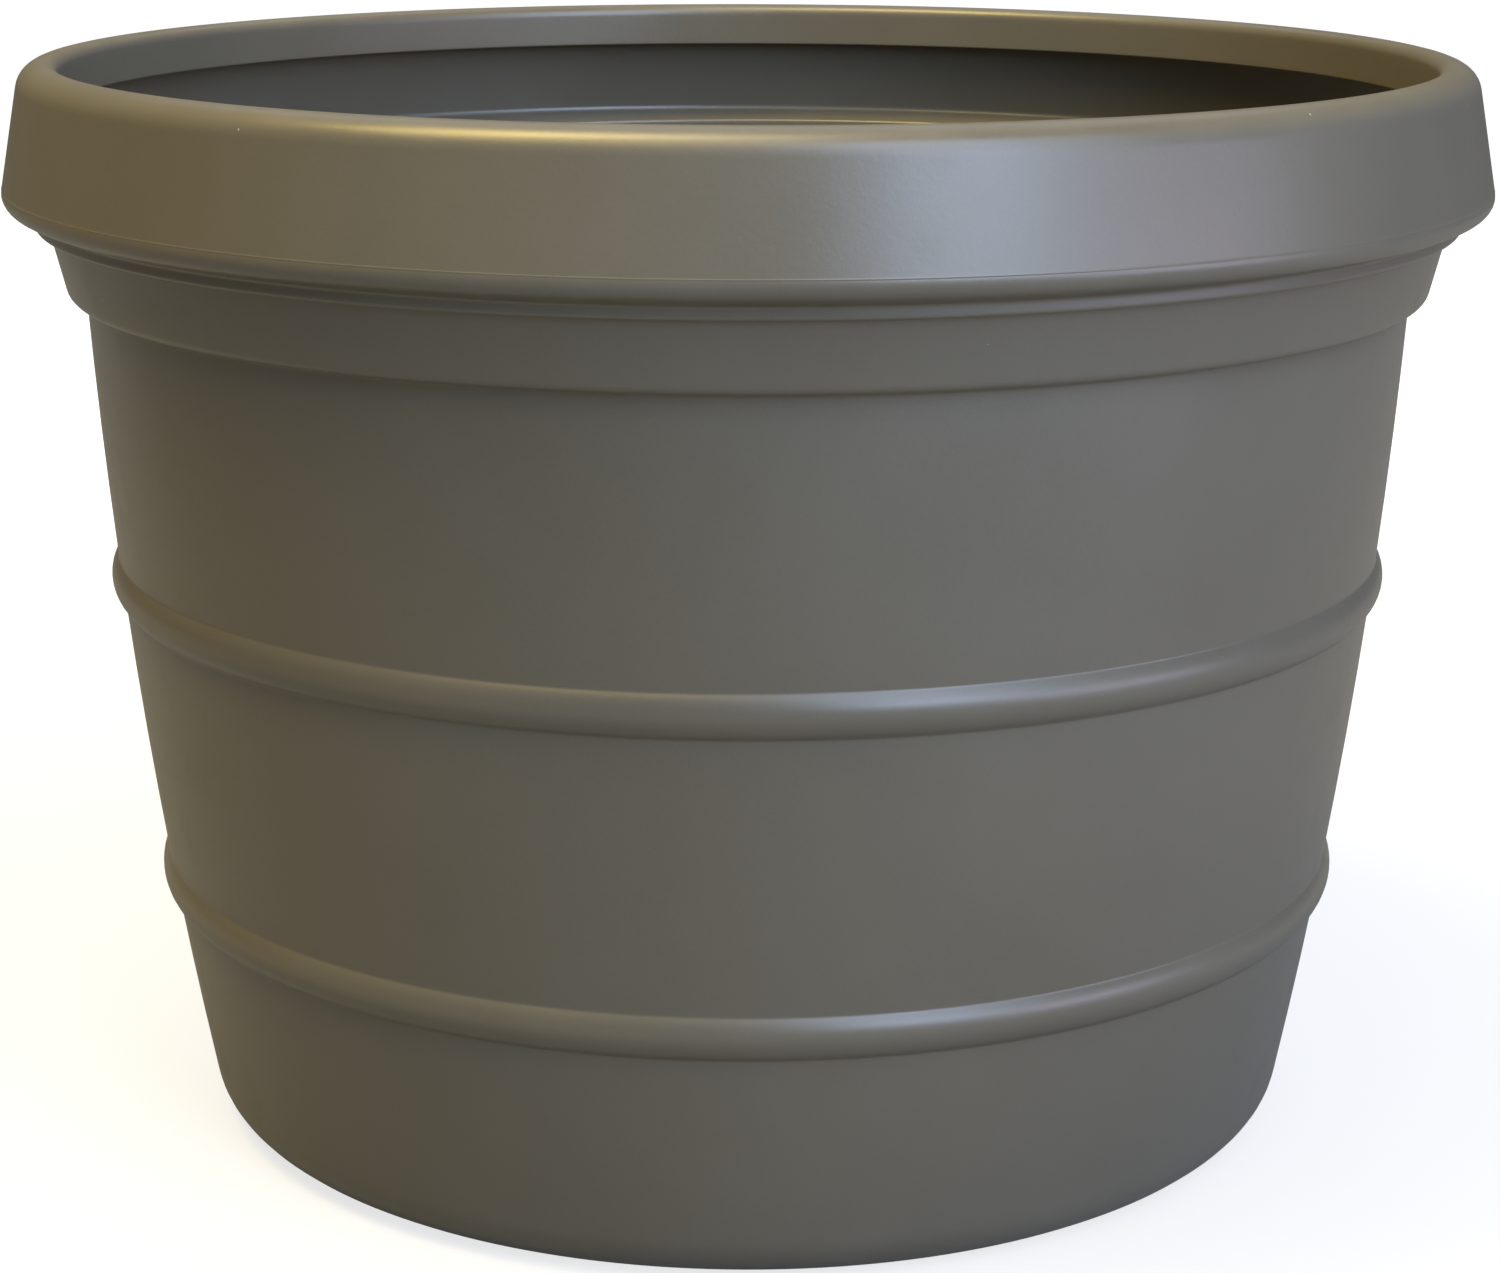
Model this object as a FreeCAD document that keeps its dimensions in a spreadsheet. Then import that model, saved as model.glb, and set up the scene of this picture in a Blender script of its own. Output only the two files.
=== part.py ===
"""Round floor planter pot: one moulded skin with a hollow hooked rim, and stoppers in its drain holes.

Millimetres, +Z up. The origin is on the ground at the centre of the foot ring.
"""
import FreeCAD, Part
import math
import os
import Sketcher

SIZES = {
    # Pot as a whole
    "pot_height": 407.4,
    "rim_radius": 280.0,
    "base_radius": 209.8,
    "barrel_radius": 2315.0,
    "wall_thickness": 3.5,
    # Rim and inner skirt
    "rim_depth": 50.8,
    "rim_flare": 9.3,
    "rim_width": 13.6,
    "skirt_depth": 17.4,
    "rim_outer_round": 10.0,
    "rim_inner_round": 4.3,
    "rim_crown": 0.5,
    "rim_lower_round": 6.0,
    "trim_round": 0.6,
    # Shoulder, bead and collar under the rim
    "shoulder_width": 12.3,
    "shoulder_drop": 3.9,
    "bead_depth": 4.7,
    "bead_step": 4.9,
    "bead_round": 1.2,
    "collar_depth": 25.8,
    "collar_taper": 6.3,
    "collar_step": 6.4,
    "collar_round": 4.5,
    "soft_corner": 1.5,
    # Belts round the barrel
    "belt_height": 16.3,
    "belt_proud": 3.6,
    "lower_belt_level": 89.2,
    "upper_belt_level": 206.2,
    # Base
    "base_round": 19.8,
    "foot_width": 37.8,
    "foot_round": 5.0,
    "panel_rise": 8.0,
    "panel_slope": 12.0,
    "panel_round": 6.0,
    # Drains and their stoppers
    "drain_count": 4,
    "drain_inset": 30.0,
    "drain_diameter": 22.0,
    "plug_clearance": 0.1,
    "plug_reach": 3.0,
    "plug_lead": 1.2,
    "flange_diameter": 36.0,
    "flange_thickness": 3.0,
    "flange_round": 1.0,
    "grip_length": 20.0,
    "grip_height": 11.0,
    "grip_thickness": 4.0,
    "grip_round": 5.0,
    "seal_diameter": 32.0,
    "seal_thickness": 2.0,
    "seal_clearance": 0.1,
    "seal_round": 0.4,
}

# Radii and levels of the pot's outside, as sums of sizes
RIM_TOP_RADIUS = "rim_radius - rim_flare"
SKIRT_RADIUS = RIM_TOP_RADIUS + " - rim_width"
BEAD_RADIUS = "rim_radius - shoulder_width"
COLLAR_TOP_RADIUS = BEAD_RADIUS + " - bead_step"
COLLAR_LOW_RADIUS = COLLAR_TOP_RADIUS + " - collar_taper"
NECK_RADIUS = COLLAR_LOW_RADIUS + " - collar_step"
FOOT_RADIUS = "base_radius - foot_width"
PANEL_RADIUS = FOOT_RADIUS + " - panel_slope"
DRAIN_CIRCLE = PANEL_RADIUS + " - drain_inset"
RIM_LOWER = "pot_height - rim_depth"
GROOVE = RIM_LOWER + " - shoulder_drop"
BEAD_LOWER = GROOVE + " - bead_depth"
COLLAR_FOOT = BEAD_LOWER + " - collar_depth"
SKIRT_LOWER = "pot_height - skirt_depth"
FLOOR_LEVEL = "panel_rise + wall_thickness"
BELTS = ["lower_belt", "upper_belt"]
BELT_RADIUS = "(Sizes.belt_height ^ 2 / 4 + Sizes.belt_proud ^ 2) / (2 * Sizes.belt_proud)"

# Corners of the pot's section from the axis under the floor to the skirt's trimmed edge: distance from the
# axis, level, and the way from there to the corner of the inside line. None stands for zero.
UP, IN_AND_UP, IN_AND_DOWN, OUT_AND_DOWN, OUT = (0, 1), (-1, 1), (-1, -1), (1, -1), (1, 0)
SECTION = {
    "axis": (None, "panel_rise", UP),
    "panel_edge": (PANEL_RADIUS, "panel_rise", UP),
    "foot_inner": (FOOT_RADIUS, None, UP),
    "base_corner": ("base_radius", None, IN_AND_UP),
    "neck": (NECK_RADIUS, COLLAR_FOOT, IN_AND_UP),
    "collar_lower": (COLLAR_LOW_RADIUS, COLLAR_FOOT, IN_AND_UP),
    "collar_top": (COLLAR_TOP_RADIUS, BEAD_LOWER, IN_AND_UP),
    "bead_lower": (BEAD_RADIUS, BEAD_LOWER, IN_AND_UP),
    "groove": (BEAD_RADIUS, GROOVE, IN_AND_UP),
    "rim_lower": ("rim_radius", RIM_LOWER, IN_AND_UP),
    "rim_outer": (RIM_TOP_RADIUS, "pot_height", IN_AND_DOWN),
    "rim_inner": (SKIRT_RADIUS, "pot_height", OUT_AND_DOWN),
    "trim": (SKIRT_RADIUS, SKIRT_LOWER, OUT),
}
BASE_RUN = ["axis", "panel_edge", "foot_inner", "base_corner"]
COLLAR_RUN = ["neck", "collar_lower", "collar_top", "bead_lower", "groove"]
HEAD_RUN = [*COLLAR_RUN, "rim_lower", "rim_outer", "rim_inner", "trim"]
BELT_CORNERS = [f"{belt}_{end}" for belt in BELTS for end in ("bottom", "top")]
WALL_RUN = ["base_corner", *BELT_CORNERS]

# The rim's outer rounding leaves at least a narrow crown between itself and the inner rounding
FLARE_SLOPE = "Sizes.rim_flare / Sizes.rim_depth"
RIM_OUTER_ROUND = ("min(Sizes.rim_outer_round; (Sizes.rim_width - Sizes.rim_inner_round - Sizes.rim_crown)"
                   f" * (sqrt(1 + ({FLARE_SLOPE}) ^ 2) + {FLARE_SLOPE}))")
SOFT_CORNERS = [*BELT_CORNERS, "neck", "collar_top", "groove"]
OUTSIDE_ROUNDS = [
    ("rim_outer", ["rim_outer"], RIM_OUTER_ROUND),
    ("rim_inner", ["rim_inner"], "Sizes.rim_inner_round"),
    ("rim_lower", ["rim_lower"], "Sizes.rim_lower_round"),
    ("bead_lower", ["bead_lower"], "Sizes.bead_round"),
    ("collar_lower", ["collar_lower"], "Sizes.collar_round"),
    ("base_corner", ["base_corner"], "Sizes.base_round"),
    ("foot_inner", ["foot_inner"], "Sizes.foot_round"),
    ("panel_edge", ["panel_edge"], "Sizes.panel_round"),
    ("soft_corners", SOFT_CORNERS, "Sizes.soft_corner"),
]
INSIDE_ROUNDS = [
    ("rim_outer", ["rim_outer"], f"{RIM_OUTER_ROUND} - Sizes.wall_thickness"),
    ("rim_lower", ["rim_lower"], "max(Sizes.rim_lower_round - Sizes.wall_thickness; Sizes.soft_corner)"),
    ("base_corner", ["base_corner"], "Sizes.base_round - Sizes.wall_thickness"),
    ("panel_edge", ["panel_edge"], "Sizes.panel_round"),
    ("soft_corners", SOFT_CORNERS, "Sizes.soft_corner"),
]

# Radii and levels of a stopper above its own tip
SHANK_RADIUS = "drain_diameter/2 - plug_clearance"
FLANGE_RADIUS = "flange_diameter/2"
FLANGE_UNDER = "plug_reach + wall_thickness + seal_thickness"
FLANGE_TOP = FLANGE_UNDER + " + flange_thickness"
GRIP_TOP = FLANGE_TOP + " + grip_height"
GRIP_HALF = "grip_length/2"

# Ends of a sketch edge, and the sketch's own origin and axes
START, END, CENTRE = range(1, 4)
LEVEL_AXIS, UPRIGHT_AXIS = range(-1, -3, -1)
ORIGIN = (LEVEL_AXIS, START)
UPWARD = FreeCAD.Vector(0, 0, 1)
NEAR = 0.01
CUT_TOLERANCE = 0.01

document = FreeCAD.newDocument("planter_pot")


def make_sheet():
    sheet = document.addObject("Spreadsheet::Sheet", "Sizes")
    for row, (name, value) in enumerate(SIZES.items(), start=1):
        sheet.set(f"A{row}", name)
        sheet.set(f"B{row}", str(value))
        sheet.setAlias(f"B{row}", name)
    document.recompute()


def total(words):
    """Value and bound expression of a sum of sizes, such as "pot_height - flange_diameter/2"."""
    value = 0.0
    sign = 1
    bound = []
    for word in words.split():
        if word in ("+", "-"):
            sign = 1 if word == "+" else -1
        else:
            name, _, divisor = word.partition("/")
            value += sign * SIZES[name] / float(divisor or 1)
            word = "Sizes." + word
        bound.append(word)
    return value, " ".join(bound)


def point_at(across, up):
    """Sketch point at a distance from the upright axis and a level, both sums of sizes or None for zero."""
    return FreeCAD.Vector(total(across)[0] if across else 0, total(up)[0] if up else 0, 0)


def new_body(label):
    body = document.addObject("PartDesign::Body", label)
    body.Label = label
    return body


def new_sketch(body, name, role):
    sketch = body.newObject("Sketcher::SketchObject", name)
    plane = next(feature for feature in body.Origin.OriginFeatures if feature.Role == role)
    sketch.AttachmentSupport = [(plane, "")]
    sketch.MapMode = "FlatFace"
    return sketch


def hold(sketch, kind, *where):
    sketch.addConstraint(Sketcher.Constraint(kind, *where))


def bind(sketch, kind, *where, size):
    """A dimension that follows a sum of sizes, or a pair of value and expression."""
    value, expression = total(size) if isinstance(size, str) else size
    index = sketch.addConstraint(Sketcher.Constraint(kind, *where, value))
    sketch.setExpression(f"Constraints[{index}]", expression)


def place_corner(sketch, edge, end, across, up):
    if across:
        bind(sketch, "DistanceX", *ORIGIN, edge, end, size=across)
    else:
        hold(sketch, "PointOnObject", edge, end, UPRIGHT_AXIS)
    if up:
        bind(sketch, "DistanceY", *ORIGIN, edge, end, size=up)
    else:
        hold(sketch, "PointOnObject", edge, end, LEVEL_AXIS)


def straight(points):
    return [Part.LineSegment(first, second) for first, second in zip(points, points[1:])]


def draw_chain(sketch, edges):
    """Add edges that run end to start, and return their numbers in the sketch."""
    numbers = [sketch.addGeometry(edge, False) for edge in edges]
    for first, second in zip(numbers, numbers[1:]):
        hold(sketch, "Coincident", first, END, second, START)
    return numbers


def draw_polygon(sketch, corners):
    """A closed section of straight lines, with every corner at its own distance and level."""
    points = [point_at(*corner) for corner in corners]
    lines = draw_chain(sketch, straight(points + points[:1]))
    hold(sketch, "Coincident", lines[-1], END, lines[0], START)
    for line, corner in zip(lines, corners):
        place_corner(sketch, line, START, *corner)


def arc_between(low, high, radius):
    """Arc that bulges away from the upright axis, from a low point up to a high one."""
    chord = high - low
    inward = FreeCAD.Vector(-chord.y, chord.x, 0).normalize()
    centre = (low + high) * 0.5 + inward * math.sqrt(radius ** 2 - (chord.Length / 2) ** 2)
    ends = [math.atan2(point.y - centre.y, point.x - centre.x) for point in (low, high)]
    return Part.ArcOfCircle(Part.Circle(centre, UPWARD, radius), *ends)


def revolve(body, sketch, name):
    turned = body.newObject("PartDesign::Revolution", name)
    turned.Profile = sketch
    turned.ReferenceAxis = (sketch, ["V_Axis"])
    turned.Angle = 360
    document.recompute()
    return turned


def ring_edges(shape, spots):
    """Names of the circles about the upright axis whose radius and level are the x and y of the spots."""
    names = []
    for spot in spots:
        found = [f"Edge{number}" for number, edge in enumerate(shape.Edges, start=1)
                 if isinstance(edge.Curve, Part.Circle)
                 and abs(edge.Curve.Radius - spot.x) < NEAR and abs(edge.Curve.Center.z - spot.y) < NEAR]
        if not found:
            raise ValueError(f"no ring at radius {spot.x:.2f}, level {spot.y:.2f}")
        names += found
    return names


def round_edges(body, base, name, edges, expression):
    fillet = body.newObject("PartDesign::Fillet", name)
    fillet.Base = (base, edges)
    fillet.setExpression("Radius", expression)
    document.recompute()
    return fillet


def belt_radius():
    """Radius of a belt's bulge, from its height and how far it stands proud; BELT_RADIUS says the same."""
    return (SIZES["belt_height"] ** 2 / 4 + SIZES["belt_proud"] ** 2) / (2 * SIZES["belt_proud"])


def wall_arcs(low, high, depth):
    """Arcs of barrel and belts from a low point to a high one, on the line a depth inside the outside."""
    neck = point_at(NECK_RADIUS, COLLAR_FOOT)
    barrel = arc_between(point_at("base_radius", None), neck, SIZES["barrel_radius"])
    radius = barrel.Radius - depth
    bulge = belt_radius() - depth
    half = math.sqrt(SIZES["belt_proud"] * (2 * bulge - SIZES["belt_proud"]))
    middles = [SIZES[f"{belt}_level"] + SIZES["belt_height"] / 2 for belt in BELTS]
    points = [low]
    for level in [middle + side * half for middle in middles for side in (-1, 1)]:
        reach = math.sqrt(radius ** 2 - (level - barrel.Center.y) ** 2)
        points.append(FreeCAD.Vector(barrel.Center.x + reach, level, 0))
    points.append(high)
    radii = [radius, bulge] * len(BELTS) + [radius]
    return [arc_between(*ends, size) for *ends, size in zip(points, points[1:], radii)]


def draw_skin_line(sketch, depth):
    """The outside line, or the inside line at the wall's depth, as edge numbers by their first corner."""
    points = {name: point_at(across, up) + FreeCAD.Vector(*way, 0) * depth
              for name, (across, up, way) in SECTION.items()}
    edges = straight([points[name] for name in BASE_RUN])
    edges += wall_arcs(points["base_corner"], points["neck"], depth)
    edges += straight([points[name] for name in HEAD_RUN])
    names = BASE_RUN[:-1] + WALL_RUN + HEAD_RUN[:-1]
    return dict(zip(names, draw_chain(sketch, edges)))


def draw_pot_section(sketch):
    """Half section of the skin: the outside line, and an inside line held one wall away from it."""
    outer = draw_skin_line(sketch, 0)
    inner = draw_skin_line(sketch, SIZES["wall_thickness"])
    trim_ends = [sketch.getPoint(line["rim_inner"], END) for line in (outer, inner)]
    axis_ends = [sketch.getPoint(line["axis"], START) for line in (outer, inner)]
    trim = sketch.addGeometry(Part.LineSegment(*trim_ends), False)
    axis = sketch.addGeometry(Part.LineSegment(*axis_ends), False)
    for line, end in ((outer, START), (inner, END)):
        hold(sketch, "Coincident", line["rim_inner"], END, trim, end)
        hold(sketch, "Coincident", line["axis"], START, axis, end)
    hold(sketch, "Horizontal", trim)
    hold(sketch, "PointOnObject", axis, END, UPRIGHT_AXIS)

    for name in BASE_RUN + HEAD_RUN[:-1]:
        place_corner(sketch, outer[name], START, *SECTION[name][:2])
    place_corner(sketch, outer["rim_inner"], END, *SECTION["trim"][:2])
    for belt in BELTS:
        bulge = outer[f"{belt}_bottom"]
        bind(sketch, "DistanceY", *ORIGIN, bulge, START, size=f"{belt}_level")
        bind(sketch, "DistanceY", *ORIGIN, bulge, END, size=f"{belt}_level + belt_height")
        hold(sketch, "Coincident", outer["base_corner"], CENTRE, outer[f"{belt}_top"], CENTRE)

    for name in outer:
        if name in WALL_RUN:
            is_belt = name.endswith("_bottom")
            value, expression = (belt_radius(), BELT_RADIUS) if is_belt else total("barrel_radius")
            inside = (value - SIZES["wall_thickness"], expression + " - Sizes.wall_thickness")
            bind(sketch, "Radius", outer[name], size=(value, expression))
            bind(sketch, "Radius", inner[name], size=inside)
            hold(sketch, "Coincident", outer[name], CENTRE, inner[name], CENTRE)
        else:
            hold(sketch, "Parallel", outer[name], inner[name])
            bind(sketch, "Distance", inner[name], START, outer[name], size="wall_thickness")
    document.recompute()
    return outer, inner


def cut_drains(body):
    outline = new_sketch(body, "drain_outline", "XY_Plane")
    circle = Part.Circle(point_at(DRAIN_CIRCLE, None), UPWARD, SIZES["drain_diameter"] / 2)
    outline.addGeometry(circle, False)
    place_corner(outline, 0, CENTRE, DRAIN_CIRCLE, None)
    bind(outline, "Diameter", 0, size="drain_diameter")
    whole = body.Shape.Volume
    drain = body.newObject("PartDesign::Pocket", "drain")
    drain.Profile = outline
    drain.Type = "ThroughAll"
    drain.Reversed = True
    document.recompute()
    drains = body.newObject("PartDesign::PolarPattern", "drains")
    drains.Originals = [drain]
    drains.Axis = (outline, ["N_Axis"])
    drains.Angle = 360
    drains.setExpression("Occurrences", "Sizes.drain_count")
    body.Tip = drains
    document.recompute()
    cut = whole - body.Shape.Volume
    expected = SIZES["drain_count"] * math.pi * circle.Radius ** 2 * SIZES["wall_thickness"]
    if abs(cut - expected) > expected * CUT_TOLERANCE:
        raise ValueError(f"the drains cut away {cut:.0f} mm3, not {expected:.0f}")


def make_pot():
    body = new_body("pot_shell")
    sketch = new_sketch(body, "pot_section", "XZ_Plane")
    outer, inner = draw_pot_section(sketch)
    feature = revolve(body, sketch, "pot_form")
    for side, line, rounds in (("outside", outer, OUTSIDE_ROUNDS), ("inside", inner, INSIDE_ROUNDS)):
        for name, corners, expression in rounds:
            rings = ring_edges(feature.Shape, [sketch.getPoint(line[corner], START) for corner in corners])
            feature = round_edges(body, feature, f"{name}_{side}", rings, expression)
    rings = ring_edges(feature.Shape, [sketch.getPoint(line["rim_inner"], END) for line in (outer, inner)])
    round_edges(body, feature, "trimmed_edge", rings, "Sizes.trim_round")
    cut_drains(body)
    return body


def seat_at_drain(body, number, level):
    """Stand a body at one of the drains, turned to face the pot's axis."""
    angle = 360 / SIZES["drain_count"] * (number - 1)
    body.Placement = FreeCAD.Placement(FreeCAD.Vector(), FreeCAD.Rotation(UPWARD, angle))
    circle = total(DRAIN_CIRCLE)[1]
    bound_angle = f"360deg / Sizes.drain_count * {number - 1}"
    body.setExpression("Placement.Base.x", f"({circle}) * cos({bound_angle})")
    body.setExpression("Placement.Base.y", f"({circle}) * sin({bound_angle})")
    body.setExpression("Placement.Base.z", total(level)[1])


def draw_grip(sketch):
    """Upright tab that starts in the flange and is as long to both sides."""
    low = point_at(GRIP_HALF, FLANGE_UNDER)
    high = point_at(GRIP_HALF, GRIP_TOP)
    far_low = FreeCAD.Vector(-low.x, low.y, 0)
    far_high = FreeCAD.Vector(-high.x, high.y, 0)
    foot, near_side, top, far_side = draw_chain(sketch, straight([far_low, low, high, far_high, far_low]))
    hold(sketch, "Coincident", far_side, END, foot, START)
    hold(sketch, "Symmetric", foot, START, foot, END, UPRIGHT_AXIS)
    hold(sketch, "Vertical", far_side)
    hold(sketch, "Horizontal", top)
    place_corner(sketch, near_side, START, GRIP_HALF, FLANGE_UNDER)
    place_corner(sketch, near_side, END, GRIP_HALF, GRIP_TOP)


def make_plug(number):
    """Stopper: a shank with a lead-in at its tip, a flange, and an upright grip across the flange."""
    body = new_body(f"drain_plug_{number}")
    section = new_sketch(body, f"plug_section_{number}", "XZ_Plane")
    draw_polygon(section, [
        (None, None), (SHANK_RADIUS + " - plug_lead", None), (SHANK_RADIUS, "plug_lead"),
        (SHANK_RADIUS, FLANGE_UNDER), (FLANGE_RADIUS, FLANGE_UNDER), (FLANGE_RADIUS, FLANGE_TOP),
        (None, FLANGE_TOP)])
    form = revolve(body, section, f"plug_form_{number}")
    rings = ring_edges(form.Shape, [point_at(FLANGE_RADIUS, FLANGE_TOP)])
    round_edges(body, form, f"flange_edge_{number}", rings, "Sizes.flange_round")

    outline = new_sketch(body, f"grip_outline_{number}", "XZ_Plane")
    draw_grip(outline)
    grip = body.newObject("PartDesign::Pad", f"grip_{number}")
    grip.Profile = outline
    grip.Midplane = True
    grip.setExpression("Length", "Sizes.grip_thickness")
    document.recompute()
    top = point_at(GRIP_HALF, GRIP_TOP)
    shoulders = []
    for index, edge in enumerate(grip.Shape.Edges, start=1):
        ends = [vertex.Point for vertex in edge.Vertexes]
        at_corner = all(abs(abs(end.x) - top.x) < NEAR and abs(end.z - top.y) < NEAR for end in ends)
        if at_corner and abs(ends[0].x - ends[-1].x) < NEAR:
            shoulders.append(f"Edge{index}")
    round_edges(body, grip, f"grip_shoulders_{number}", shoulders, "Sizes.grip_round")
    seat_at_drain(body, number, "panel_rise - plug_reach")
    return body


def make_seal(number):
    """Flat washer that lies on the floor under the flange and is held on the shank."""
    body = new_body(f"plug_seal_{number}")
    section = new_sketch(body, f"seal_section_{number}", "XZ_Plane")
    bore = SHANK_RADIUS + " + seal_clearance"
    outside = "seal_diameter/2"
    draw_polygon(section, [
        (bore, None), (outside, None), (outside, "seal_thickness"), (bore, "seal_thickness")])
    form = revolve(body, section, f"seal_form_{number}")
    rings = ring_edges(form.Shape, [point_at(outside, None), point_at(outside, "seal_thickness")])
    round_edges(body, form, f"seal_edge_{number}", rings, "Sizes.seal_round")
    seat_at_drain(body, number, FLOOR_LEVEL)
    return body


def check_and_write(bodies):
    document.recompute()
    failed = [item.Name for item in document.Objects if {"Invalid", "Error"} & set(item.State)]
    failed += [body.Label for body in bodies
               if body.Shape.isNull() or not body.Shape.isValid() or len(body.Shape.Solids) != 1]
    if failed:
        raise ValueError("not built: " + ", ".join(failed))
    os.makedirs("parts", exist_ok=True)
    for body in bodies:
        body.Shape.exportStep(f"parts/{body.Label}.step")
        print(f"{body.Label}: {body.Shape.Volume / 1000:.1f} cm3")


make_sheet()
pieces = [make_pot()]
for drain_number in range(1, SIZES["drain_count"] + 1):
    pieces += [make_plug(drain_number), make_seal(drain_number)]
check_and_write(pieces)
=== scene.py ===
"""Round floor planter pot in satin taupe plastic on a pale floor, at the photo's angle. Metres, +Z up."""
import cmath
import math

import bmesh
import bpy
from mathutils import Matrix, Vector


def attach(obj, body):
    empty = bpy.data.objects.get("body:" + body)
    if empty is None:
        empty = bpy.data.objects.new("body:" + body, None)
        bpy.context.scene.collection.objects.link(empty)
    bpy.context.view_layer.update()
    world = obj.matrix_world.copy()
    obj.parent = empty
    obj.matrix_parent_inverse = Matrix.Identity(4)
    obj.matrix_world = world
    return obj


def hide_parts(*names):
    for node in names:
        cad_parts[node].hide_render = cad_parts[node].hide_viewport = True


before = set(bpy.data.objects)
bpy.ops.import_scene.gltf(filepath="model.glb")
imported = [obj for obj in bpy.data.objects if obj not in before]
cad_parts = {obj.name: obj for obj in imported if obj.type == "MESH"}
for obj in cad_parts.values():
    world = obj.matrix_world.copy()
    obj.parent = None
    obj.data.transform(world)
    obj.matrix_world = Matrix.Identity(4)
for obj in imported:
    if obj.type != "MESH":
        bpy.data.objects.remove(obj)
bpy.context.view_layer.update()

# Camera, fitted to the photo's outline
IMAGE_WIDTH = 1500
FOCAL_PIXELS = 3410.9
SENSOR_MM = 36.0
CAMERA_PLACE = (0.0, -1.3052, 0.5160)
CAMERA_PITCH = 0.2525
CAMERA_YAW = -0.00082
CAMERA_ROLL = 0.0024
NEAREST_SEEN = 0.05
FARTHEST_SEEN = 100.0

# Colours, linear; a plastic has a middle, a pale and a deep tone
TAUPE = ((0.140, 0.125, 0.093), (0.159, 0.144, 0.110), (0.125, 0.111, 0.081))
PLUG_GREY = ((0.045, 0.043, 0.040), (0.056, 0.054, 0.050), (0.037, 0.035, 0.033))
DUST = (0.55, 0.53, 0.48)
RUBBER_BLACK = (0.018, 0.018, 0.018)
RUBBER_BLOOM = (0.035, 0.034, 0.033)
FLOOR_DEEP = (0.24, 0.24, 0.24)
FLOOR_PALE = (0.26, 0.26, 0.26)
WHITE = (1.0, 1.0, 1.0, 1.0)

# Finish of the plastics, with noise scales per metre and the depth of the relief in metres
POT_ROUGHNESS = 0.34
PLUG_ROUGHNESS = 0.40
ROUGHNESS_SPREAD = 0.03
SMUDGE_ROUGHNESS = 0.05
DUST_ROUGHNESS = 0.3
PLASTIC_IOR = 1.51
PLASTIC_SPECULAR = 0.64
CLOUD_SCALE = 11.0
SMUDGE_SCALE = 45.0
PEEL_SCALE = 420.0
GRAIN_SCALE = 1500.0
GRAIN_COVER = 0.55
GRAIN_IN_RELIEF = 0.35
PLASTIC_RELIEF = 0.00012
PLASTIC_BUMP = 0.35
SPECK_SCALE = 33.0
SPECK_EDGE = (0.010, 0.0135)
SPECK_COVER = 0.8

# Levels in metres where handling rubs the plastic, each with its reach up and down
POT_RUBBED = ((0.3580, 0.006), (0.4074, 0.008), (0.0, 0.025))
PLUG_RUBBED = ((0.0275, 0.006),)
RUBBED_COVER = 0.6

# Finish of the rubber
RUBBER_ROUGHNESS = (0.62, 0.82)
BLOOM_SCALE = 160.0
BLOOM_COVER = 0.7
RUBBER_GRAIN_SCALE = 2600.0
RUBBER_RELIEF = 0.0001
RUBBER_BUMP = 0.5

# Corners of the pot's section in millimetres, as distance from the axis + level * 1j, and its other sizes,
# all the same as the solid's
FLOOR_START = 150 + 8j
PANEL_EDGE = 160 + 8j
FOOT_INNER = 172 + 0j
BASE_CORNER = 209.8 + 0j
NECK = 250.1 + 322.2j
COLLAR_LOWER = 256.5 + 322.2j
COLLAR_TOP = 262.8 + 348j
BEAD_LOWER = 267.7 + 348j
GROOVE = 267.7 + 352.7j
RIM_LOWER = 280 + 356.6j
RIM_OUTER = 270.7 + 407.4j
RIM_INNER = 257.1 + 407.4j
TRIM = 257.1 + 390j
WALL = 3.5
BARREL = 2315.0
BELT_HEIGHT = 16.3
BELT_PROUD = 3.6
BELT_LEVELS = (89.2, 206.2)
SOFT_CORNER = 1.5
PANEL_ROUND = 6
FOOT_ROUND = 5
BASE_ROUND = 19.8
COLLAR_ROUND = 4.5
BEAD_ROUND = 1.2
RIM_LOWER_ROUND = 6
RIM_OUTER_ROUND = 10
RIM_INNER_ROUND = 4.3
TRIM_ROUND = 0.6
DRAINS = 4
DRAIN_CIRCLE = 130.0
DRAIN_RADIUS = 11.0
MM_PER_METRE = 1000

# Fine ridge that the mould's parting leaves above the rim's lower edge: distance along the rim's face,
# height above it, and rounding
PARTING_LINE = ((5.6, 0.0, 0.15), (6.0, 0.1, 0.2), (6.4, 0.0, 0.15))

# Fineness of the pot's mesh
TURNS = 192
DRAIN_SIDES = 48
ARC_STEP = math.radians(9)
LEAST_ARC_STEPS = 3
LONGEST_STEP = 25.0
SUPPORT = 1.0
SHORT_EDGE_PARTS = 5
SHARP_ANGLE = math.radians(35)
MEETING_ROUNDS = 8
SAME_POINT = 1e-6

# Floor and background. The share is how much of the white shows in the pot's gloss, faint as in the photo.
# The floor's glow grows from near the pot, where its shadow falls, to full white further off
GLOSS_SHARE = 0.1
SKY_LIGHT = 0.06
FLOOR_HALF = 20.0
FLOOR_NOISE_SCALE = 3.0
GLOW_NEAR, GLOW_FAR = 0.35, 1.4
GLOW_AT_POT = 0.75

# Lamps: what they point at, how far off they stand, and their colours
LAMP_TARGET = (0, 0, 0.22)
LAMP_DISTANCE = 2.6
COOL = (0.60, 0.75, 1.0)
COOLER = (0.54, 0.69, 1.0)
LILAC = (0.78, 0.72, 1.0)
SKY_BLUE = (0.62, 0.78, 1.0)
WARM = (1.0, 0.76, 0.25)
WARM_WHITE = (1.0, 0.87, 0.60)
SOFT_WARM = (1.0, 0.93, 0.82)
SOFT_COOL = (0.95, 0.96, 1.0)


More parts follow.
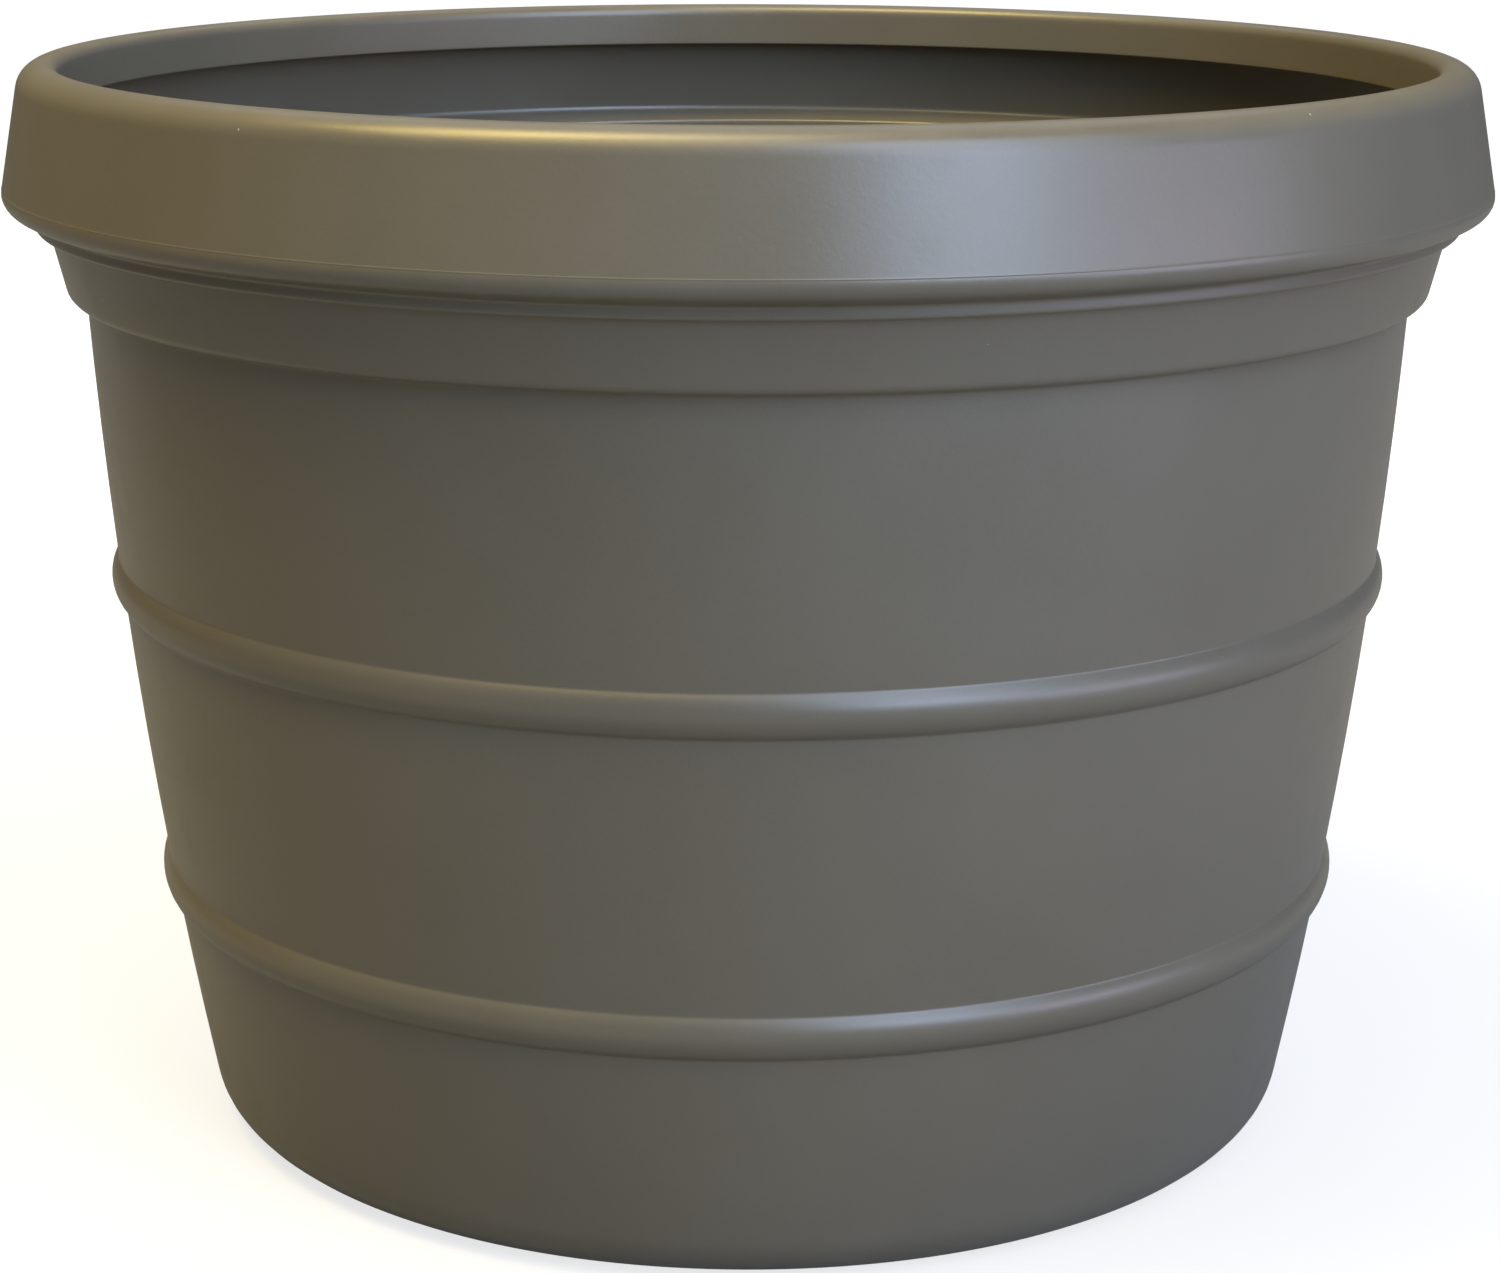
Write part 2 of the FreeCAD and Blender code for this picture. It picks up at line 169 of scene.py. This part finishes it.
def add(tree, kind, inputs=None, **settings):
    """A new node with its settings made, and each input given a value or linked to a socket."""
    made = tree.nodes.new(kind)
    for name, value in settings.items():
        setattr(made, name, value)
    for name, value in (inputs or {}).items():
        if isinstance(value, bpy.types.NodeSocket):
            tree.links.new(value, made.inputs[name])
        else:
            made.inputs[name].default_value = value
    return made


def noise(tree, vector, scale, detail, roughness=0.5):
    made = add(tree, "ShaderNodeTexNoise",
               {"Vector": vector, "Scale": scale, "Detail": detail, "Roughness": roughness})
    return made.outputs["Fac"]


def remap(tree, value, low, high, to_low=0.0, to_high=1.0):
    made = add(tree, "ShaderNodeMapRange", {
        "Value": value, "From Min": low, "From Max": high, "To Min": to_low, "To Max": to_high})
    return made.outputs["Result"]


def math_node(tree, operation, first, second):
    return add(tree, "ShaderNodeMath", {0: first, 1: second}, operation=operation).outputs[0]


def blend(tree, factor, first, second):
    """Colour between two others, which are colours or sockets."""
    made = tree.nodes.new("ShaderNodeMix")
    made.data_type = "RGBA"
    for name, value in (("Factor_Float", factor), ("A_Color", first), ("B_Color", second)):
        socket = next(item for item in made.inputs if item.identifier == name)
        if isinstance(value, bpy.types.NodeSocket):
            tree.links.new(value, socket)
        else:
            socket.default_value = (*value, 1.0) if isinstance(value, tuple) else value
    return next(item for item in made.outputs if item.identifier == "Result_Color")


def new_material(name):
    material = bpy.data.materials.new(name)
    material.use_nodes = True
    return material, material.node_tree


def level_band(tree, height, level, reach):
    """1 at a level, falling to 0 at a reach above and below it."""
    above = math_node(tree, "SUBTRACT", height, level)
    away = add(tree, "ShaderNodeMath", {0: above}, operation="ABSOLUTE").outputs[0]
    return remap(tree, away, 0.0, reach, 1.0, 0.0)


def moulded_plastic(name, colours, roughness, rubbed_levels):
    """Satin moulded plastic: pigment clouds, fine grain, dust specks and rubbed edges."""
    middle, pale, deep = colours
    material, tree = new_material(name)
    surface = tree.nodes["Principled BSDF"]
    place = add(tree, "ShaderNodeTexCoord").outputs["Object"]
    height = add(tree, "ShaderNodeSeparateXYZ", {"Vector": place}).outputs["Z"]

    clouds = noise(tree, place, CLOUD_SCALE, 4.0, 0.55)
    grain = noise(tree, place, GRAIN_SCALE, 2.0, 0.6)
    peel = noise(tree, place, PEEL_SCALE, 3.0, 0.55)
    smudge = noise(tree, place, SMUDGE_SCALE, 5.0, 0.65)
    specks = add(tree, "ShaderNodeTexVoronoi", {"Vector": place, "Scale": SPECK_SCALE, "Randomness": 1.0})
    dust = remap(tree, specks.outputs["Distance"], *SPECK_EDGE, SPECK_COVER, 0.0)
    rubbed = None
    for level, reach in rubbed_levels:
        band = level_band(tree, height, level, reach)
        rubbed = band if rubbed is None else math_node(tree, "MAXIMUM", rubbed, band)
    rubbed = math_node(tree, "MULTIPLY", rubbed, remap(tree, smudge, 0.45, 0.75, 0.0, RUBBED_COVER))

    colour = blend(tree, remap(tree, clouds, 0.3, 0.7), deep, middle)
    colour = blend(tree, remap(tree, grain, 0.45, 0.9, 0.0, GRAIN_COVER), colour, pale)
    colour = blend(tree, rubbed, colour, pale)
    colour = blend(tree, dust, colour, DUST)
    tree.links.new(colour, surface.inputs["Base Color"])

    low, high = roughness - ROUGHNESS_SPREAD, roughness + ROUGHNESS_SPREAD
    gloss = remap(tree, clouds, 0.25, 0.75, low, high)
    gloss = math_node(tree, "ADD", gloss, remap(tree, smudge, 0.5, 0.8, 0.0, SMUDGE_ROUGHNESS))
    gloss = math_node(tree, "ADD", gloss, math_node(tree, "MULTIPLY", dust, DUST_ROUGHNESS))
    tree.links.new(gloss, surface.inputs["Roughness"])

    relief = math_node(tree, "ADD", peel, math_node(tree, "MULTIPLY", grain, GRAIN_IN_RELIEF))
    bump = add(tree, "ShaderNodeBump",
               {"Height": relief, "Strength": PLASTIC_BUMP, "Distance": PLASTIC_RELIEF})
    tree.links.new(bump.outputs["Normal"], surface.inputs["Normal"])
    surface.inputs["IOR"].default_value = PLASTIC_IOR
    surface.inputs["Specular IOR Level"].default_value = PLASTIC_SPECULAR
    return material


def seal_rubber():
    """Matt black rubber with a pale bloom and a fine moulded grain."""
    material, tree = new_material("black_rubber")
    surface = tree.nodes["Principled BSDF"]
    place = add(tree, "ShaderNodeTexCoord").outputs["Object"]
    bloom = noise(tree, place, BLOOM_SCALE, 5.0, 0.6)
    grain = noise(tree, place, RUBBER_GRAIN_SCALE, 2.0, 0.5)
    colour = blend(tree, remap(tree, bloom, 0.45, 0.8, 0.0, BLOOM_COVER), RUBBER_BLACK, RUBBER_BLOOM)
    tree.links.new(colour, surface.inputs["Base Color"])
    tree.links.new(remap(tree, bloom, 0.3, 0.7, *RUBBER_ROUGHNESS), surface.inputs["Roughness"])
    bump = add(tree, "ShaderNodeBump",
               {"Height": grain, "Strength": RUBBER_BUMP, "Distance": RUBBER_RELIEF})
    tree.links.new(bump.outputs["Normal"], surface.inputs["Normal"])
    return material


class Edge:
    """Line, or arc with its centre to the left, or to the right for a radius below 0.

    Points are distance + level * 1j.
    """

    def __init__(self, start, end, radius):
        chord = end - start
        self.start = start
        self.radius = radius
        self.length = abs(chord)
        self.way = chord / abs(chord)
        self.bend = 0.0
        if radius:
            half = math.asin(abs(chord) / 2 / radius)
            self.bend = 1 / radius
            self.length = 2 * half * radius
            self.way *= cmath.exp(-1j * half)
            self.centre = start + 1j * self.way * radius

    def at(self, s):
        """Point and direction of travel at a distance along the edge, or past its ends."""
        if not self.radius:
            return self.start + self.way * s, self.way
        way = self.way * cmath.exp(1j * s * self.bend)
        return self.centre - 1j * way * self.radius, way


def cross(first, second):
    return (first.conjugate() * second).imag


def meet(first, second, reach):
    """Distances along two edges whose parallels, a reach to the left, cross there."""
    s, t = first.length, 0.0
    for _ in range(MEETING_ROUNDS):
        (here, way), (there, next_way) = first.at(s), second.at(t)
        gap = there - here + 1j * reach * (next_way - way)
        step = way * (1 - reach * first.bend)
        next_step = next_way * (1 - reach * second.bend)
        s += cross(gap, next_step) / cross(step, next_step)
        t += cross(gap, step) / cross(step, next_step)
    return s, t


def edge_points(edge, begin, finish):
    """Points along an edge, with one close to each end to keep the shading of the roundings apart."""
    beside = min(SUPPORT, (finish - begin) / SHORT_EDGE_PARTS)
    inner = finish - begin - 2 * beside
    count = max(math.ceil(inner * abs(edge.bend) / ARC_STEP), math.ceil(inner / LONGEST_STEP))
    inside = [begin + beside + inner * index / count for index in range(count + 1)]
    return [edge.at(s)[0] for s in (begin, *inside, finish)]


def rounded_line(corners, radii, rounds):
    """Points along edges through the corners, with every corner rounded that has a radius for it."""
    edges = [Edge(*item) for item in zip(corners, corners[1:], radii)]
    line = []
    begin = 0.0
    for index, edge in enumerate(edges):
        finish, next_begin, bend = edge.length, 0.0, []
        if index + 1 < len(edges) and rounds[index + 1]:
            following = edges[index + 1]
            turn = cmath.phase(following.at(0.0)[1] / edge.at(edge.length)[1])
            reach = math.copysign(rounds[index + 1], turn)
            finish, next_begin = meet(edge, following, reach)
            here, way = edge.at(finish)
            sweep = cmath.phase(following.at(next_begin)[1] / way)
            steps = max(LEAST_ARC_STEPS, math.ceil(abs(sweep) / ARC_STEP))
            spokes = [1j * reach * way * cmath.exp(1j * sweep * step / steps) for step in range(1, steps)]
            bend = [here + 1j * reach * way - spoke for spoke in spokes]
        points = edge_points(edge, begin, finish)
        line += points[1:] if line and abs(line[-1] - points[0]) < SAME_POINT else points
        line += bend
        begin = next_begin
    return line


def outside_corners():
    """Each corner of the outside, its outside and inside rounding, and the radius of the edge after it."""
    barrel = Edge(BASE_CORNER, NECK, BARREL)
    belt = (BELT_HEIGHT ** 2 / 4 + BELT_PROUD ** 2) / (2 * BELT_PROUD)

    def on_barrel(level):
        across = math.sqrt(BARREL ** 2 - (level - barrel.centre.imag) ** 2)
        return complex(barrel.centre.real + across, level)

    rows = [
        (FLOOR_START, 0, 0, 0),
        (PANEL_EDGE, PANEL_ROUND, PANEL_ROUND, 0),
        (FOOT_INNER, FOOT_ROUND, 0, 0),
        (BASE_CORNER, BASE_ROUND, BASE_ROUND - WALL, BARREL),
    ]
    for level in BELT_LEVELS:
        rows += [
            (on_barrel(level), SOFT_CORNER, SOFT_CORNER, belt),
            (on_barrel(level + BELT_HEIGHT), SOFT_CORNER, SOFT_CORNER, BARREL),
        ]
    return rows + [
        (NECK, SOFT_CORNER, SOFT_CORNER, 0),
        (COLLAR_LOWER, COLLAR_ROUND, 0, 0),
        (COLLAR_TOP, SOFT_CORNER, SOFT_CORNER, 0),
        (BEAD_LOWER, BEAD_ROUND, 0, 0),
        (GROOVE, SOFT_CORNER, SOFT_CORNER, 0),
        (RIM_LOWER, RIM_LOWER_ROUND, RIM_LOWER_ROUND - WALL, 0),
        (RIM_OUTER, RIM_OUTER_ROUND, RIM_OUTER_ROUND - WALL, 0),
        (RIM_INNER, RIM_INNER_ROUND, 0, 0),
        (TRIM, TRIM_ROUND, TRIM_ROUND, 0),
    ]


def pot_section():
    """The skin's closed section: from the floor along the outside to the trimmed edge, and back inside."""
    outside, outer_rounds, inner_rounds, radii = (list(column) for column in zip(*outside_corners()))
    radii.pop()
    edges = [Edge(*item) for item in zip(outside, outside[1:], radii)]
    inside = [outside[0] + 1j * WALL * edges[0].way]
    for first, second in zip(edges, edges[1:]):
        here, way = first.at(meet(first, second, WALL)[0])
        inside.append(here + 1j * WALL * way)
    inside.append(outside[-1] + 1j * WALL * edges[-1].way)
    inner_radii = [WALL - radius if radius else 0 for radius in radii]

    lower = outside.index(RIM_LOWER)
    way = edges[lower].way
    for along, proud, rounding in reversed(PARTING_LINE):
        outside.insert(lower + 1, RIM_LOWER + way * (along - 1j * proud))
        outer_rounds.insert(lower + 1, rounding)
        radii.insert(lower, 0)

    corners = outside + inside[::-1]
    rounds = outer_rounds + inner_rounds[::-1]
    return rounded_line(corners, radii + [0] + inner_radii[::-1], rounds)


def ring(shape, centre, radius, level, count):
    """Vertices round a circle, from sizes in millimetres."""
    turns = [2 * math.pi * index / count for index in range(count)]
    places = [centre + cmath.rect(radius, turn) for turn in turns]
    points = [[size / MM_PER_METRE for size in (place.real, place.imag, level)] for place in places]
    return [shape.verts.new(point) for point in points]


def bridge(shape, first, second):
    for index in range(len(first)):
        shape.faces.new((first[index - 1], first[index], second[index], second[index - 1]))


def make_pot_skin(material):
    """The pot turned from its section as even rings, with its floor pierced by the drains."""
    shape = bmesh.new()
    line = pot_section()
    rings = [ring(shape, 0j, point.real, point.imag, TURNS) for point in line]
    for first, second in zip(rings, rings[1:]):
        bridge(shape, first, second)
    under, over = [rings[0]], [rings[-1]]
    for drain in range(DRAINS):
        centre = cmath.rect(DRAIN_CIRCLE, 2 * math.pi * drain / DRAINS)
        under.append(ring(shape, centre, DRAIN_RADIUS, line[0].imag, DRAIN_SIDES))
        over.append(ring(shape, centre, DRAIN_RADIUS, line[-1].imag, DRAIN_SIDES))
        bridge(shape, over[-1], under[-1])
    for loops in (under, over):
        pairs = [(loop[index - 1], loop[index]) for loop in loops for index in range(len(loop))]
        edges = [shape.edges.get(pair) for pair in pairs]
        bmesh.ops.triangle_fill(shape, edges=edges, use_beauty=True)
    bmesh.ops.recalc_face_normals(shape, faces=shape.faces[:])
    for face in shape.faces:
        face.smooth = True
    mesh = bpy.data.meshes.new("pot_skin")
    shape.to_mesh(mesh)
    shape.free()
    mesh.set_sharp_from_angle(angle=SHARP_ANGLE)
    mesh.materials.append(material)
    skin = bpy.data.objects.new("pot_skin", mesh)
    bpy.context.scene.collection.objects.link(skin)
    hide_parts("pot_shell")
    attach(skin, "pot")


def dress_nodes():
    """Give every solid its material, and draw the pot's skin in place of its solid."""
    pot = moulded_plastic("satin_taupe", TAUPE, POT_ROUGHNESS, POT_RUBBED)
    plug = moulded_plastic("plug_grey", PLUG_GREY, PLUG_ROUGHNESS, PLUG_RUBBED)
    rubber = seal_rubber()
    for name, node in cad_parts.items():
        material = pot if name == "pot_shell" else plug if name.startswith("drain_plug") else rubber
        node.data.materials[0] = material
    make_pot_skin(pot)


def seen_white(tree, plain):
    """Strength of the background: white to the camera, dimmer in the gloss, plain as light on the object."""
    rays = add(tree, "ShaderNodeLightPath").outputs
    direct = math_node(tree, "MAXIMUM", rays["Is Camera Ray"], rays["Is Transmission Ray"])
    in_gloss = math_node(tree, "MULTIPLY", rays["Is Glossy Ray"], GLOSS_SHARE)
    return remap(tree, math_node(tree, "MAXIMUM", direct, in_gloss), 0.0, 1.0, plain, 1.0)


def make_floor():
    mesh = bpy.data.meshes.new("floor")
    signs = ((-1, -1), (1, -1), (1, 1), (-1, 1))
    mesh.from_pydata([(x * FLOOR_HALF, y * FLOOR_HALF, 0) for x, y in signs], [], [(0, 1, 2, 3)])
    floor = bpy.data.objects.new("floor", mesh)
    bpy.context.scene.collection.objects.link(floor)
    material, tree = new_material("pale_floor")
    tree.nodes.remove(tree.nodes["Principled BSDF"])
    place = add(tree, "ShaderNodeTexCoord").outputs["Object"]
    tone = blend(tree, noise(tree, place, FLOOR_NOISE_SCALE, 4.0), FLOOR_DEEP, FLOOR_PALE)
    diffuse = add(tree, "ShaderNodeBsdfDiffuse", {"Color": tone})
    away = add(tree, "ShaderNodeVectorMath", {0: place}, operation="LENGTH").outputs["Value"]
    white = remap(tree, away, GLOW_NEAR, GLOW_FAR, GLOW_AT_POT, 1.0)
    strength = math_node(tree, "MULTIPLY", seen_white(tree, 0.0), white)
    glow = add(tree, "ShaderNodeEmission", {"Color": WHITE, "Strength": strength})
    both = add(tree, "ShaderNodeAddShader", {0: diffuse.outputs[0], 1: glow.outputs[0]})
    tree.links.new(both.outputs[0], tree.nodes["Material Output"].inputs["Surface"])
    mesh.materials.append(material)


def make_world():
    world = bpy.data.worlds.new("studio")
    world.use_nodes = True
    tree = world.node_tree
    background = tree.nodes["Background"]
    background.inputs["Color"].default_value = WHITE
    tree.links.new(seen_white(tree, SKY_LIGHT), background.inputs["Strength"])
    bpy.context.scene.world = world


def soft_light(name, azimuth, elevation, size, power, colour, glossy=True):
    """Area light on a dome round the pot; azimuth 0 is the camera's side and positive is to its right."""
    turn, rise = math.radians(azimuth - 90), math.radians(elevation)
    away = Vector((math.cos(rise) * math.cos(turn), math.cos(rise) * math.sin(turn), math.sin(rise)))
    data = bpy.data.lights.new(name, "AREA")
    data.shape = "RECTANGLE"
    data.size, data.size_y = size
    data.energy = power
    data.color = colour
    light = bpy.data.objects.new(name, data)
    light.location = Vector(LAMP_TARGET) + away * LAMP_DISTANCE
    light.rotation_euler = away.to_track_quat("Z", "Y").to_euler()
    light.visible_camera = False
    light.visible_glossy = glossy
    bpy.context.scene.collection.objects.link(light)


def make_lights():
    """Cool windows to the right, warm lamps above to the left, a cool lamp and gloss-free fill behind."""
    soft_light("tall_window", 29, 35, (1.1, 2.4), 36, COOLER)
    soft_light("wide_window", 37, 34, (2.0, 2.2), 30, COOL)
    soft_light("low_window", 31, 14, (1.0, 0.8), 10, COOL)
    soft_light("right_fill", 62, 5, (1.6, 0.7), 15, LILAC)
    soft_light("warm_lamp", -72, 64, (1.0, 1.0), 30, WARM)
    soft_light("warm_high", -60, 73, (0.8, 0.8), 17, WARM)
    soft_light("warm_front", -34, 60, (2.0, 1.2), 21, WARM)
    soft_light("top_lamp", -20, 78, (1.0, 1.0), 17, WARM_WHITE)
    soft_light("back_high", 180, 60, (2.4, 2.4), 13, SKY_BLUE)
    soft_light("back_left", -150, 20, (3.0, 3.0), 25, SOFT_WARM, glossy=False)
    soft_light("back_right", 155, 20, (3.0, 3.0), 24, SOFT_COOL, glossy=False)


def make_camera():
    data = bpy.data.cameras.new("photo_camera")
    data.sensor_fit = "HORIZONTAL"
    data.sensor_width = SENSOR_MM
    data.lens = FOCAL_PIXELS / IMAGE_WIDTH * SENSOR_MM
    data.clip_start = NEAREST_SEEN
    data.clip_end = FARTHEST_SEEN
    camera = bpy.data.objects.new("photo_camera", data)
    turn = Matrix.Rotation(CAMERA_YAW, 4, "Z")
    tilt = Matrix.Rotation(math.pi / 2 - CAMERA_PITCH, 4, "X")
    roll = Matrix.Rotation(CAMERA_ROLL, 4, "Z")
    camera.matrix_world = Matrix.Translation(CAMERA_PLACE) @ turn @ tilt @ roll
    bpy.context.scene.collection.objects.link(camera)
    bpy.context.scene.camera = camera


dress_nodes()
make_floor()
make_world()
make_lights()
make_camera()
bpy.context.scene.view_settings.view_transform = "Standard"
